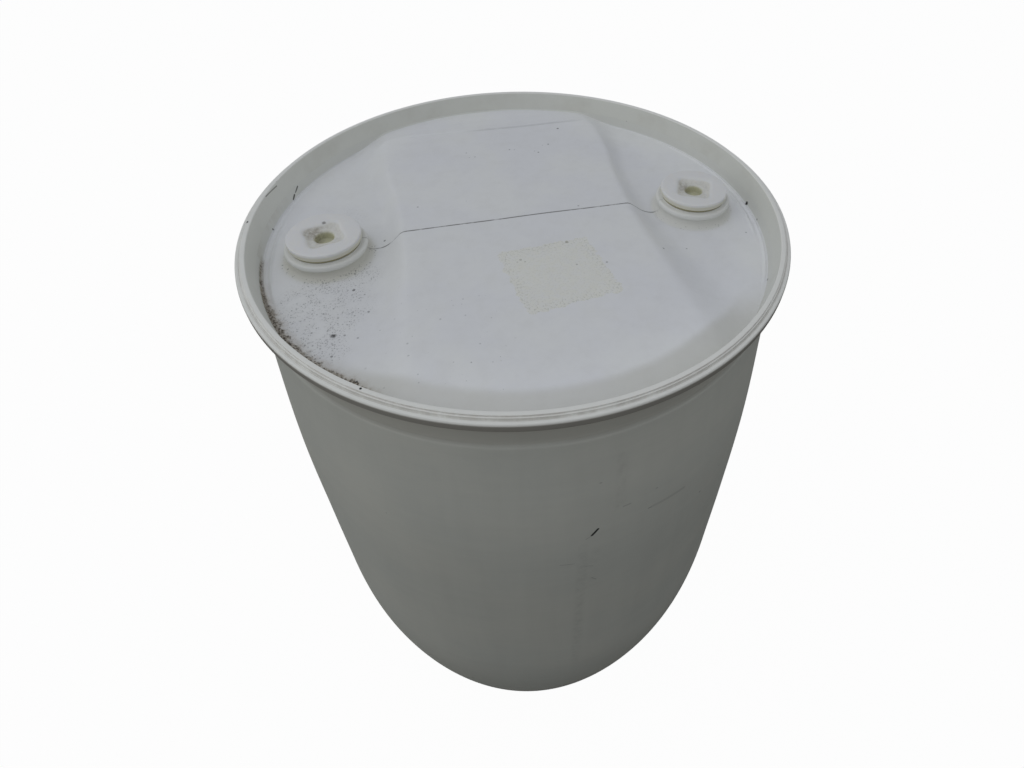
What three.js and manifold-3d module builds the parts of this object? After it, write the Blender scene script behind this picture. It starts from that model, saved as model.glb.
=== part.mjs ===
// A tight-head plastic drum: a blow-moulded body with a closed, recessed head, an L-section
// handling ring welded round its top, and two screw plugs, each sealed by its own gasket.
// Millimetres, +Z up. The origin is the centre of the base, and +X runs through both bungs.
import * as THREE from 'three';
import { mergeVertices } from 'three/addons/utils/BufferGeometryUtils.js';
import Module from 'manifold-3d';

const wasm = await Module();
wasm.setup();

// Driving dimensions of the body
const HEIGHT = 875; // base to the top of the handling ring
const BODY_R = 295; // the widest part of the body, and the outside of the ring
const WALL = 4; // blow-moulded wall
const GAP = 0.3; // clearance between neighbouring pieces
const ROUND_SIDES = 56; // facets round the drum

// The side wall is straight between two heights, and two long arcs lead away from them.
const BELLY_LOW = 369;
const BELLY_HIGH = 554;
const TAPER_ARC_R = 885; // draws the wall in towards the base
const SHOULDER_ARC_R = 3000; // draws the wall in towards the ring

// Base
const CHINE_Z = 24; // height of the rounded corner
const CHINE_CORNER_R = 216; // where the corner's two tangents meet
const STAND_OUT_R = 198; // the flat ring that the drum stands on
const STAND_IN_R = 154;
const PUSH_UP = 9; // rise of the dished middle
const PUSH_UP_R = 132;

// Head and rim
const HEAD_Z = 842; // floor of the two bung pockets
const HEAD_R = 277; // radius of that floor
const PLATEAU_RISE = 18; // height of the middle of the head above the pockets
const PLATEAU_EDGE_RISE = 10; // what is left of it where it meets the rim
const PLATEAU_SLOPE_R = 246; // where it begins to fall towards the rim
const PLATEAU_HALF = 127; // half-width of its flat top on the bung line
const PLATEAU_FLARE = 10; // what that gains at the rim
const POCKET_HALF = 149; // half-distance between the feet of its two ramps
const POCKET_FLARE = 50;
const WALL_LEAN = 0.21; // outward lean of the wall inside the rim
const NECK_Z = 827; // foot of the groove under the ring
const NECK_R = 281; // radius of that groove at its foot
const NECK_LEAN = 0.11;
const SEAM_Z = 854; // top edge of the body, where the ring is welded on

// Handling ring
const LIP_OUT_R = 289;
const LIP_CHAMFER = 1;
const LEDGE_Z = HEIGHT - 3.2; // top of the flange, outside the lip
const FLANGE_T = 12;
const FLANGE_Z = LEDGE_Z - FLANGE_T; // underside of the flange

// Bungs
const BUNG_X = 209; // distance of each bung from the drum's axis
const NECK_BOTTOM_Z = 833.5;
const LAND_Z = 859.5; // the sealing face at the mouth of each neck
const COLLAR_R = 43;
const LAND_R = 37.2;
const GASKET_T = 2.4;
const FLANGE_R = 38.4;
const FLANGE_BOTTOM_Z = LAND_Z + GASKET_T + 2 * GAP;
const PLUG_TOP_Z = 870;
const BARREL_BOTTOM_Z = 845.5;
const BARREL_T = 4;
const RECESS_FLOOR_Z = 866.4; // floor of the wrench recess
const RECESS_R = 18; // mean radius of its four-lobed outline
const LOBE_R = 5; // how far the lobes swing either side of that
const RECESS_TURN = -10; // degrees from +X to the first lobe
const WEB_T = 3.5;
const TAP_R = 11; // blind hole in the middle of the plug
const TAP_BOTTOM_Z = 857.5;
const PLUG_SIDES = 32; // facets round a plug, and round one turn of its thread
const THREAD_START_Z = 847.5; // centre of the thread's first turn

// Radii are the plug's. The neck's thread is the same ridge, grown by the clearances.
const FINE = { pitch: 2.209, rootR: 28.85, depth: 0.95, rootW: 1.3, crestW: 0.35, turns: 4.5 };
const COARSE = { pitch: 4, rootR: 26.2, depth: 1.8, rootW: 2.4, crestW: 1, turns: 2.5 };
const THREAD_GAP = 0.35;

const PLASTIC = { roughness: 0.55, metalness: 0 };

// Solids

function solid(geometry) {
  const plain = geometry.clone();
  plain.deleteAttribute('normal');
  plain.deleteAttribute('uv');
  const merged = mergeVertices(plain, 1e-4);
  return new wasm.Manifold(new wasm.Mesh({
    numProp: 3,
    vertProperties: new Float32Array(merged.attributes.position.array),
    triVerts: new Uint32Array(merged.index.array),
  }));
}

function geometryOf(manifold) {
  const mesh = manifold.getMesh();
  const geometry = new THREE.BufferGeometry();
  geometry.setAttribute('position', new THREE.BufferAttribute(mesh.vertProperties, 3));
  geometry.setIndex(new THREE.BufferAttribute(mesh.triVerts, 1));
  geometry.computeVertexNormals();
  return geometry;
}

// Turns an outline of [radius, height] points, given anticlockwise, about the Z axis.
function turned(outline, sides) {
  const points = outline.map(([r, z]) => new THREE.Vector2(r, z));
  return new THREE.LatheGeometry(points, sides).rotateX(Math.PI / 2);
}

function cylinder(radius, bottom, top, sides) {
  return turned([[0, bottom], [radius, bottom], [radius, top], [0, top]], sides);
}

function part(name, geometry, colour) {
  const material = new THREE.MeshStandardMaterial({ color: colour, ...PLASTIC });
  const mesh = new THREE.Mesh(geometry, material);
  mesh.name = name;
  return mesh;
}

// Body

// How far an arc has left its tangent after running along it for a distance.
function arcDrop(distance, radius) {
  return radius - Math.sqrt(radius * radius - distance * distance);
}

function sideRadius(z) {
  if (z < BELLY_LOW) return BODY_R - arcDrop(BELLY_LOW - z, TAPER_ARC_R);
  if (z > BELLY_HIGH) return BODY_R - arcDrop(z - BELLY_HIGH, SHOULDER_ARC_R);
  return BODY_R;
}

function sideOutline(bottom, top, inset) {
  const outline = [];
  const lowSteps = 7;
  const highSteps = 3;
  for (let i = 0; i <= lowSteps; i++) {
    const z = bottom + ((BELLY_LOW - bottom) * i) / lowSteps;
    outline.push([sideRadius(z) - inset, z]);
  }
  for (let i = 0; i <= highSteps; i++) {
    const z = BELLY_HIGH + ((top - BELLY_HIGH) * i) / highSteps;
    outline.push([sideRadius(z) - inset, z]);
  }
  return outline;
}

function chineOutline(inset) {
  const curve = new THREE.QuadraticBezierCurve(
    new THREE.Vector2(STAND_OUT_R, inset),
    new THREE.Vector2(CHINE_CORNER_R - inset, inset),
    new THREE.Vector2(sideRadius(CHINE_Z) - inset, CHINE_Z),
  );
  return curve.getPoints(3).slice(0, -1).map((p) => [p.x, p.y]);
}

function baseOutline(inset) {
  return [[0, PUSH_UP + inset], [PUSH_UP_R, PUSH_UP + inset], [STAND_IN_R, inset]];
}

// The space that the body's outside encloses, with the head flat at the pockets' floor.
function bodyEnvelope() {
  const seamInR = HEAD_R + (SEAM_Z - HEAD_Z) * WALL_LEAN;
  const seamOutR = NECK_R + (SEAM_Z - NECK_Z) * NECK_LEAN;
  const shoulderZ = NECK_Z - 4;
  return turned([
    ...baseOutline(0),
    ...chineOutline(0),
    ...sideOutline(CHINE_Z, shoulderZ, 0),
    [NECK_R, NECK_Z],
    [seamOutR, SEAM_Z],
    [seamInR, SEAM_Z],
    [HEAD_R, HEAD_Z],
    [0, HEAD_Z],
  ], ROUND_SIDES);
}

function bodyCavity() {
  const ceiling = HEAD_Z - WALL;
  return turned([
    ...baseOutline(WALL),
    ...chineOutline(WALL),
    ...sideOutline(CHINE_Z, NECK_Z - WALL, WALL),
    [NECK_R - WALL - 1, ceiling],
    [0, ceiling],
  ], ROUND_SIDES);
}

// The raised middle of the head runs from front to back. Both its ramps are ruled between
// two curves: the edge of its top and the foot in the pocket, which spread towards the rim.
function plateau(limitR) {
  const spread = (half, flare, y) => half + flare * (y / HEAD_R) ** 2;
  const steps = 12;
  const foot = [];
  for (let i = 0; i <= steps; i++) {
    const y = HEAD_R * ((2 * i) / steps - 1);
    foot.push(new THREE.Vector2(spread(POCKET_HALF, POCKET_FLARE, y), y));
  }
  const left = foot.map((p) => new THREE.Vector2(-p.x, p.y)).reverse();
  const outline = new THREE.Shape([...foot, ...left]);
  const block = new THREE.ExtrudeGeometry(outline, { depth: PLATEAU_RISE, bevelEnabled: false });
  const position = block.attributes.position;
  for (let i = 0; i < position.count; i++) {
    if (position.getZ(i) < PLATEAU_RISE / 2) continue;
    const half = spread(PLATEAU_HALF, PLATEAU_FLARE, position.getY(i));
    position.setX(i, Math.sign(position.getX(i)) * half);
  }
  block.translate(0, 0, HEAD_Z);
  const cap = turned([
    [0, HEAD_Z - WALL],
    [limitR, HEAD_Z - WALL],
    [limitR, HEAD_Z + PLATEAU_EDGE_RISE],
    [PLATEAU_SLOPE_R, HEAD_Z + PLATEAU_RISE],
    [0, HEAD_Z + PLATEAU_RISE],
  ], ROUND_SIDES);
  return solid(block).intersect(solid(cap));
}

// A neck as a solid stub, with the collar that its tamper seal would grip.
function neckStub(x) {
  const rootR = 36;
  const wallR = 39.5;
  const collarZ = LAND_Z - 7.5;
  return solid(turned([
    [0, NECK_BOTTOM_Z],
    [rootR, NECK_BOTTOM_Z],
    [rootR, HEAD_Z - 1],
    [wallR + 1.5, HEAD_Z],
    [wallR, HEAD_Z + 3],
    [wallR, collarZ],
    [COLLAR_R, collarZ + 1.5],
    [COLLAR_R, LAND_Z - 2.4],
    [COLLAR_R - 1.6, LAND_Z - 0.8],
    [LAND_R, LAND_Z - 0.8],
    [LAND_R, LAND_Z],
    [0, LAND_Z],
  ], PLUG_SIDES).translate(x, 0, 0));
}

function threadedBore(x, thread) {
  const boreR = thread.rootR + THREAD_GAP;
  const past = 0.5; // turns that the groove runs on below the plug's thread
  const topTurn = (LAND_Z + thread.pitch - THREAD_START_Z) / thread.pitch;
  const bore = solid(cylinder(boreR, NECK_BOTTOM_Z - 1, LAND_Z + 1, PLUG_SIDES));
  const groove = threadRidge(thread, boreR, THREAD_GAP, -past, topTurn);
  return bore.add(groove).translate([x, 0, 0]);
}

function drumBody() {
  const intoRim = 2.5; // how far the raised middle runs into the wall inside the rim
  const shell = solid(bodyEnvelope())
    .add(plateau(HEAD_R + intoRim))
    .subtract(solid(bodyCavity()).add(plateau(HEAD_R - WALL).translate([0, 0, -WALL])));
  const bored = shell
    .add(neckStub(-BUNG_X))
    .add(neckStub(BUNG_X))
    .subtract(threadedBore(-BUNG_X, FINE))
    .subtract(threadedBore(BUNG_X, COARSE));
  return part('drum_body', geometryOf(bored), 0xb0b3b0);
}

// Handling ring: a standing web, a lip at its top, and a flange turned outward below the lip.
function handlingRing() {
  const bottom = SEAM_Z + GAP;
  const webInR = HEAD_R + (bottom - HEAD_Z) * WALL_LEAN;
  const webOutR = NECK_R + (bottom - NECK_Z) * NECK_LEAN;
  const lipInR = HEAD_R + (HEIGHT - LIP_CHAMFER - HEAD_Z) * WALL_LEAN;
  const chamfer = 1.5;
  const fillet = 3; // between the web and the flange
  const outline = [
    [webInR, bottom],
    [webOutR, bottom],
    [webOutR + fillet / 5, FLANGE_Z - fillet],
    [webOutR + fillet, FLANGE_Z],
    [BODY_R - chamfer, FLANGE_Z],
    [BODY_R, FLANGE_Z + chamfer],
    [BODY_R, LEDGE_Z - chamfer],
    [BODY_R - chamfer, LEDGE_Z],
    [LIP_OUT_R + chamfer, LEDGE_Z],
    [LIP_OUT_R, LEDGE_Z - chamfer / 2],
    [LIP_OUT_R, HEIGHT - LIP_CHAMFER],
    [LIP_OUT_R - LIP_CHAMFER, HEIGHT],
    [lipInR + LIP_CHAMFER, HEIGHT],
    [lipInR, HEIGHT - LIP_CHAMFER],
    [webInR, bottom],
  ];
  return part('handling_ring', turned(outline, ROUND_SIDES), 0xb4b7b6);
}

// Plugs

// A helical ridge standing on a cylinder, from one turn to another. It is a straight bar
// wound round the axis: its length becomes the angle, and the height follows the pitch.
function threadRidge(thread, baseR, grow, fromTurn, toTurn) {
  const root = thread.rootW / 2 + grow;
  const crest = thread.crestW / 2 + grow;
  const buried = 1; // how far the ridge runs into the cylinder
  const profile = new THREE.Shape([
    new THREE.Vector2(-buried, -root),
    new THREE.Vector2(0, -root),
    new THREE.Vector2(thread.depth, -crest),
    new THREE.Vector2(thread.depth, crest),
    new THREE.Vector2(0, root),
    new THREE.Vector2(-buried, root),
  ]);
  const steps = Math.round((toTurn - fromTurn) * PLUG_SIDES);
  const bar = new THREE.ExtrudeGeometry(profile, { depth: steps, steps, bevelEnabled: false });
  const position = bar.attributes.position;
  for (let i = 0; i < position.count; i++) {
    const turn = fromTurn + position.getZ(i) / PLUG_SIDES;
    const angle = turn * 2 * Math.PI;
    const radius = baseR + position.getX(i);
    const height = THREAD_START_Z + turn * thread.pitch - position.getY(i);
    position.setXYZ(i, radius * Math.cos(angle), radius * Math.sin(angle), height);
  }
  return solid(bar);
}

// Wrench recess: a four-lobed outline whose radius swings with four times the angle.
function wrenchRecess() {
  const points = [];
  const steps = 48;
  for (let i = 0; i < steps; i++) {
    const angle = (i / steps) * 2 * Math.PI;
    const radius = RECESS_R + LOBE_R * Math.cos(4 * angle);
    points.push(new THREE.Vector2(radius * Math.cos(angle), radius * Math.sin(angle)));
  }
  const height = PLUG_TOP_Z + 1 - RECESS_FLOOR_Z;
  const block = new THREE.ExtrudeGeometry(new THREE.Shape(points), {
    depth: height,
    bevelEnabled: false,
  });
  return solid(block.rotateZ(THREE.MathUtils.degToRad(RECESS_TURN)).translate(0, 0, RECESS_FLOOR_Z));
}

// A flange on a hollow threaded barrel, with a boss in the middle for the blind hole.
function plug(name, x, thread) {
  const bossR = TAP_R + WEB_T;
  const bossBottomZ = TAP_BOTTOM_Z - WEB_T;
  const webZ = RECESS_FLOOR_Z - WEB_T;
  const blank = solid(turned([
    [0, bossBottomZ],
    [bossR, bossBottomZ],
    [bossR, webZ],
    [thread.rootR - BARREL_T, webZ],
    [thread.rootR - BARREL_T, BARREL_BOTTOM_Z],
    [thread.rootR, BARREL_BOTTOM_Z],
    [thread.rootR, FLANGE_BOTTOM_Z],
    [FLANGE_R, FLANGE_BOTTOM_Z],
    [FLANGE_R, PLUG_TOP_Z - 1.2],
    [FLANGE_R - 1.2, PLUG_TOP_Z],
    [0, PLUG_TOP_Z],
  ], PLUG_SIDES));
  const made = blank
    .add(threadRidge(thread, thread.rootR, 0, 0, thread.turns))
    .subtract(wrenchRecess())
    .subtract(solid(cylinder(TAP_R, TAP_BOTTOM_Z, PLUG_TOP_Z, PLUG_SIDES)));
  const mesh = part(name, geometryOf(made), 0xb7b8b8);
  mesh.position.x = x;
  return mesh;
}

// A flat washer on the neck's sealing face, wide enough to pass over the plug's thread.
function gasket(name, x, thread) {
  const innerR = thread.rootR + thread.depth + 2 * GAP;
  const bottom = LAND_Z + GAP;
  const mesh = part(name, turned([
    [innerR, bottom],
    [LAND_R - 0.4, bottom],
    [LAND_R - 0.4, bottom + GASKET_T],
    [innerR, bottom + GASKET_T],
    [innerR, bottom],
  ], PLUG_SIDES), 0x9e9a82);
  mesh.position.x = x;
  return mesh;
}

const drum = new THREE.Group();
drum.add(drumBody());
drum.add(handlingRing());
drum.add(plug('left_plug', -BUNG_X, FINE));
drum.add(gasket('left_gasket', -BUNG_X, FINE));
drum.add(plug('right_plug', BUNG_X, COARSE));
drum.add(gasket('right_gasket', BUNG_X, COARSE));

export default drum;
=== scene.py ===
# The looks of a used tight-head plastic drum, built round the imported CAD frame.
# Lengths are millimetres and heights are above the base. Only the frame's own boxes are in metres.
import math

import bpy
import numpy as np
from mathutils import Matrix, Vector


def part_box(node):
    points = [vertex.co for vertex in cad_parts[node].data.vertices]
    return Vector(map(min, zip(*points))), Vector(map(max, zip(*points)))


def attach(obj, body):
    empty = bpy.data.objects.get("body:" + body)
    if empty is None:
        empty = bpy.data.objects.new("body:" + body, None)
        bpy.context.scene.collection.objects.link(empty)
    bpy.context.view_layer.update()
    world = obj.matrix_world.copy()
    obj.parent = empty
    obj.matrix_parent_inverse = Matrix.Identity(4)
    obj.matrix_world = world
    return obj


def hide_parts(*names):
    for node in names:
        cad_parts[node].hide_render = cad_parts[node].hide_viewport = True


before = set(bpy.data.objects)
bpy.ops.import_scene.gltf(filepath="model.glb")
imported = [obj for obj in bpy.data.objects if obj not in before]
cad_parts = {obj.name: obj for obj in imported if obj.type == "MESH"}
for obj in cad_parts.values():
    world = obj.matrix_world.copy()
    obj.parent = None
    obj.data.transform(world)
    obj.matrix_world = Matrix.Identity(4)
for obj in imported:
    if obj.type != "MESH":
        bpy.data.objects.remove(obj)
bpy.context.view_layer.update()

MM = 0.001
TURN = 2 * math.pi


def node_box(node):
    low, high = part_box(node)
    return np.array(low) / MM, np.array(high) / MM


# Dimensions that come from the frame
ring_low, ring_high = node_box("handling_ring")
HEIGHT = ring_high[2]
BODY_R = ring_high[0]
SEAM_Z = ring_low[2] - 0.3
plug_low, plug_high = node_box("left_plug")
BUNG_X = -(plug_low[0] + plug_high[0]) / 2
FLANGE_R = (plug_high[1] - plug_low[1]) / 2
PLUG_TOP, PLUG_BOTTOM = plug_high[2], plug_low[2]
gasket_low, gasket_high = node_box("left_gasket")
GASKET_R = (gasket_high[1] - gasket_low[1]) / 2
GASKET_LOW, GASKET_HIGH = gasket_low[2], gasket_high[2]
LAND_Z = GASKET_LOW - 0.3

# Dimensions that repeat the CAD source
WALL = 4
BELLY_LOW, BELLY_HIGH = 369, 554
TAPER_ARC_R, SHOULDER_ARC_R = 885, 3000
CHINE_Z, CHINE_CORNER_R, STAND_OUT_R, STAND_IN_R = 24, 216, 198, 154
PUSH_UP, PUSH_UP_R = 9, 132
HEAD_Z, HEAD_R = 842, 277
PLATEAU_RISE, PLATEAU_DROP = 18, 8
WALL_LEAN, NECK_LEAN = 0.21, 0.11
NECK_Z, NECK_R = 827, 281
COLLAR_R, LAND_R = 43, 37.2
FINE = {"pitch": 2.209, "root_r": 28.85, "depth": 0.95, "root_w": 1.3, "crest_w": 0.35, "turns": 4.5}
COARSE = {"pitch": 4.0, "root_r": 26.2, "depth": 1.8, "root_w": 2.4, "crest_w": 1.0, "turns": 2.5}
THREAD_GAP = 0.35
THREAD_START_Z = 847.5
BARREL_T, WEB_T, TAP_R, TAP_BOTTOM_Z, RECESS_FLOOR_Z = 4, 3.5, 9.7, 857.5, 866.4
LIP_IN_R = HEAD_R + (HEIGHT - HEAD_Z) * WALL_LEAN
LEDGE_DROP, FLANGE_DROP = 3.8, 15.2  # top and underside of the ring's flange, below the top of its lip

# ---------------------------------------------------------------------------- meshes


def soft_step(t, low, high=None):
    """0 to 1, straight in the middle and rounded over the shares `low` and `high` at its ends."""
    high = low if high is None else high
    t = np.clip(t, 0, 1)
    start = t * t / (2 * low)
    end = 1 - (low + high) / 2 - (1 - t) ** 2 / (2 * high)
    middle = t - low / 2
    return np.where(t < low, start, np.where(t > 1 - high, end, middle)) / (1 - (low + high) / 2)


def curve_through(points, at):
    """A smooth curve through a few (position, value) pairs, evaluated at an array."""
    xs, ys = np.array(points, float).T
    slopes = np.gradient(ys, xs)
    at = np.clip(at, xs[0], xs[-1])
    i = np.clip(np.searchsorted(xs, at) - 1, 0, len(xs) - 2)
    span = xs[i + 1] - xs[i]
    t = (at - xs[i]) / span
    blend = t * t * (3 - 2 * t)
    left = ys[i] + slopes[i] * (at - xs[i])
    right = ys[i + 1] + slopes[i + 1] * (at - xs[i + 1])
    return left + (right - left) * blend


def rounded(corners, steps=5):
    """An outline through [r, z] or [r, z, fillet] corners, each fillet a short curve."""
    points = [np.array(c[:2], float) for c in corners]
    fillets = [c[2] if len(c) > 2 else 0 for c in corners]
    out = []
    for i, (point, fillet) in enumerate(zip(points, fillets)):
        if fillet == 0 or i in (0, len(points) - 1):
            out.append(point)
            continue
        before, after = points[i - 1] - point, points[i + 1] - point
        start = point + before / np.linalg.norm(before) * fillet
        end = point + after / np.linalg.norm(after) * fillet
        for t in np.linspace(0, 1, steps + 1):
            out.append((1 - t) ** 2 * start + 2 * t * (1 - t) * point + t * t * end)
    return np.array(out)


def make_object(name, points, faces):
    mesh = bpy.data.meshes.new(name)
    mesh.from_pydata((np.asarray(points) * MM).tolist(), [], faces)
    mesh.validate()
    obj = bpy.data.objects.new(name, mesh)
    bpy.context.scene.collection.objects.link(obj)
    return obj


def weld(points, faces):
    """Merges vertices that share a place, and drops the faces that this flattens."""
    keys = np.round(np.asarray(points), 5)
    unique, inverse = np.unique(keys, axis=0, return_inverse=True)
    inverse = inverse.ravel()
    kept = []
    for face in faces:
        ids = [int(inverse[v]) for v in face]
        ids = [v for k, v in enumerate(ids) if v != ids[k - 1]]
        if len(ids) > 2:
            kept.append(ids)
    return unique, kept


def grid_faces(rows, columns, wrap_rows, flip=False):
    """Quads over rows of points, where each row closes on itself."""
    i = np.arange(rows if wrap_rows else rows - 1)[:, None]
    j = np.arange(columns)[None, :]
    i2, j2 = (i + 1) % rows, (j + 1) % columns
    corners = [i * columns + j, i2 * columns + j, i2 * columns + j2, i * columns + j2]
    if flip:
        corners.reverse()
    return np.stack([np.broadcast_to(c, (len(i), columns)) for c in corners], -1).reshape(-1, 4)


def lathe(outline, angles, swell=None, closed=False, flip=False):
    """Points and faces of an outline turned about Z. An outline runs clockwise in (r, z)."""
    outline = np.asarray(outline, float)
    radius = np.broadcast_to(outline[:, 0:1], (len(outline), len(angles))).copy()
    height = np.broadcast_to(outline[:, 1:2], radius.shape).copy()
    if swell is not None:
        radius += swell(radius, height, angles[None, :])
    points = np.stack([radius * np.cos(angles), radius * np.sin(angles), height], -1)
    faces = grid_faces(len(outline), len(angles), closed, flip)
    return weld(points.reshape(-1, 3), faces.tolist())


def boolean(target, tool, operation):
    """Joins the tool to the target or cuts it away, and removes the tool."""
    modifier = target.modifiers.new("cut", "BOOLEAN")
    modifier.operation = operation
    modifier.solver = "MANIFOLD"
    modifier.object = tool
    mesh = bpy.data.meshes.new_from_object(target.evaluated_get(bpy.context.evaluated_depsgraph_get()))
    target.modifiers.clear()
    target.data = mesh
    bpy.data.objects.remove(tool)


def seam_angles(count, widths):
    """Even angles, with extra ones close to the mould's parting line at 0 and 180 degrees."""
    extra = [s * math.radians(w) + side for w in widths for s in (-1, 1) for side in (0, math.pi)]
    even = np.arange(count) * TURN / count
    return np.unique(np.round(np.concatenate([even, np.array(extra) % TURN]), 9))


# ---------------------------------------------------------------------------- body

# Half-widths of the raised middle of the head, as (y, x): the edges of its top, and the
# feet of its ramps, which spread towards the front and the back.
TOP_EDGE = [(-280, 133), (-125, 129), (0, 126), (70, 130), (147, 137), (216, 132), (280, 133)]
RIGHT_FOOT = [
    (-280, 226), (-169, 200), (-103, 182), (-32, 168), (39, 160), (128, 166), (200, 182), (280, 198),
]
LEFT_FOOT = [
    (-280, 215), (-159, 190), (-76, 165), (-11, 158), (46, 156), (101, 158), (178, 180), (280, 200),
]
FRONT_CREASE_R = 250  # where the raised middle begins to fall at the front
FOLD_Y = 211  # the straight fold where it begins to fall at the back
NECK_RIDGES = ((268.5, 1.9, 18), (274.5, 1.5, 38))  # radius, height and reach in degrees
PARTING_RIDGE = 0.8  # half-width of the ridge along the mould's parting line


def crease_radius(angle):
    """Where the raised middle begins to fall towards the rim."""
    back = FOLD_Y / np.maximum(np.sin(angle), 0.01)
    front = FRONT_CREASE_R + 0 * angle
    both = -6 * np.log(np.exp(-np.minimum(back, 600) / 6) + np.exp(-front / 6))
    return np.where(np.sin(angle) > 0, both, front)


def ridge(distance, height, width):
    return height * np.exp(-((distance / width) ** 2))


def head_height(x, y):
    """The top of the head above the base, at a place seen from above."""
    radius, angle = np.hypot(x, y), np.arctan2(y, x)
    foot = np.where(x > 0, curve_through(RIGHT_FOOT, y), curve_through(LEFT_FOOT, y))
    edge = curve_through(TOP_EDGE, y)
    ramp = soft_step((foot - np.abs(x)) / (foot - edge), 0.55, 0.22)
    crease = crease_radius(angle)
    fall = soft_step((radius - crease) / (HEAD_R + 3 - crease) * 0.97 + 0.02, 0.12)
    height = HEAD_Z + ramp * (PLATEAU_RISE - PLATEAU_DROP * fall)
    # Two low ridges between each neck and the rim, and the parting line
    off_line = np.minimum(np.abs(angle), math.pi - np.abs(angle))
    for ridge_r, ridge_height, reach in NECK_RIDGES:
        window = soft_step((math.radians(reach) - off_line) / math.radians(10), 0.3)
        height += window * ridge(radius - ridge_r, ridge_height, 1.5)
    height += ridge(y, 0.45, PARTING_RIDGE) * soft_step((252 - np.abs(x)) / 4, 0.3)
    # A fine groove where the fall begins at the back
    groove = soft_step((y - 120) / 60, 0.3) * soft_step((150 - np.abs(x - 20)) / 30, 0.3)
    height -= groove * ridge(radius - crease, 0.7, 2.0)
    # The sheet is not quite flat
    height += 0.28 * np.sin(x / 47 + 1.1) * np.cos(y / 61 - 0.4) + 0.12 * np.sin((x + y) / 23)
    height += 0.10 * np.sin(x / 15 - y / 19)
    return height


def side_radius(z):
    """The barrel's outside: upright round the belly, and an arc above and below it."""
    low = np.maximum(BELLY_LOW - z, 0)
    high = np.maximum(z - BELLY_HIGH, 0)
    drop_low = TAPER_ARC_R - np.sqrt(TAPER_ARC_R**2 - low**2)
    drop_high = SHOULDER_ARC_R - np.sqrt(SHOULDER_ARC_R**2 - high**2)
    return BODY_R - drop_low - drop_high


def bezier(start, corner, end, steps):
    """Rows of points along a quadratic curve, leaving out its first row."""
    return [
        (1 - t) ** 2 * start + 2 * t * (1 - t) * corner + t * t * end
        for t in np.linspace(0, 1, steps + 1)[1:]
    ]


def outer_rows(angles):
    """Rows of (x, y, z) points from the middle of the head, over the rim, to the middle of the base."""
    out = np.stack([np.cos(angles), np.sin(angles), 0 * angles], -1)
    up = np.array([0, 0, 1.0])

    def row(radius, height):
        radius = np.broadcast_to(radius, angles.shape)
        return out * radius[:, None] + np.broadcast_to(height, angles.shape)[:, None] * up

    def on_head(radius):
        flat = row(radius, 0)
        return flat + head_height(flat[:, 0], flat[:, 1])[:, None] * up

    crease = crease_radius(angles)
    fillet = 1.8
    last_r = HEAD_R - fillet
    rows = [on_head(0.0 * crease)]
    near = [-2.4, -1.6, -0.8, 0, 0.8, 1.6, 2.4]
    rows += [on_head((crease + near[0]) * s) for s in np.linspace(0, 1, 84)[1:-1]]
    rows += [on_head(crease + offset) for offset in near]
    start = crease + near[-1]
    rows += [on_head(start + (last_r - start) * t) for t in np.linspace(0, 1, 34)[1:]]
    wall_foot = on_head(HEAD_R + 0 * crease)
    foot_z = wall_foot[:, 2]
    corner = row(HEAD_R + (foot_z - HEAD_Z) * WALL_LEAN, foot_z)
    lean = np.array([WALL_LEAN, 1.0]) / math.hypot(WALL_LEAN, 1)
    above = corner + out * lean[0] * fillet + up * lean[1] * fillet
    rows += bezier(rows[-1], corner, above, 6)
    seam_in = HEAD_R + (SEAM_Z - HEAD_Z) * WALL_LEAN
    seam_out = NECK_R + (SEAM_Z - NECK_Z) * NECK_LEAN
    top = row(seam_in, SEAM_Z)
    rows += [above + (top - above) * t for t in (0.33, 0.66, 1.0)]
    outline = rounded([
        (seam_in, SEAM_Z),
        (seam_out, SEAM_Z, 0.5),
        (NECK_R, NECK_Z, 2.5),
        (side_radius(NECK_Z - 5) + 0.2, NECK_Z - 4.5, 3),
        (side_radius(NECK_Z - 14), NECK_Z - 14),
    ])[1:]
    heights = np.linspace(NECK_Z - 20, CHINE_Z, 90)
    side = np.stack([side_radius(heights), heights], -1)
    chine = rounded([
        side[-1],
        (CHINE_CORNER_R, 0, 17.9),
        (STAND_IN_R, 0, 6),
        (PUSH_UP_R, PUSH_UP, 9),
        (0, PUSH_UP),
    ], 9)[1:]
    base = [(r, PUSH_UP) for r in np.linspace(chine[-2][0], 0, 40)[1:]]
    for r, z in [*outline, *side, *chine[:-1], *base]:
        rows.append(row(r, z))
    return np.array(rows)


def finish_outer(rows):
    """Adds the parting line down both sides and across the base, and the wall's slight waves."""
    x, y, z = rows[..., 0], rows[..., 1], rows[..., 2]
    radius, angle = np.hypot(x, y), np.arctan2(y, x)
    side = (z < NECK_Z - 6) & (radius > STAND_OUT_R)
    waves = 0.35 * np.sin(3 * angle + 0.6) * np.sin(z / 170) + 0.2 * np.sin(7 * angle + z / 90)
    waves += 0.15 * np.sin(z / 31 + 2 * np.sin(angle))
    blend = np.clip((NECK_Z - 6 - z) / 60, 0, 1) * np.clip(z / 60, 0, 1)
    push = (waves - 0.7) * blend + ridge(y, 0.55, PARTING_RIDGE) * np.clip(z / 8, 0, 1)
    grow = np.where(side, push, 0) / np.maximum(radius, 1)
    rows[..., 0] += x * grow
    rows[..., 1] += y * grow
    pinch = (radius < PUSH_UP_R - 4) & (z < PUSH_UP + 1)
    rows[..., 2] -= np.where(pinch, ridge(y, 2.2, 2.0) * soft_step((118 - radius) / 10, 0.3), 0)
    return rows


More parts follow.
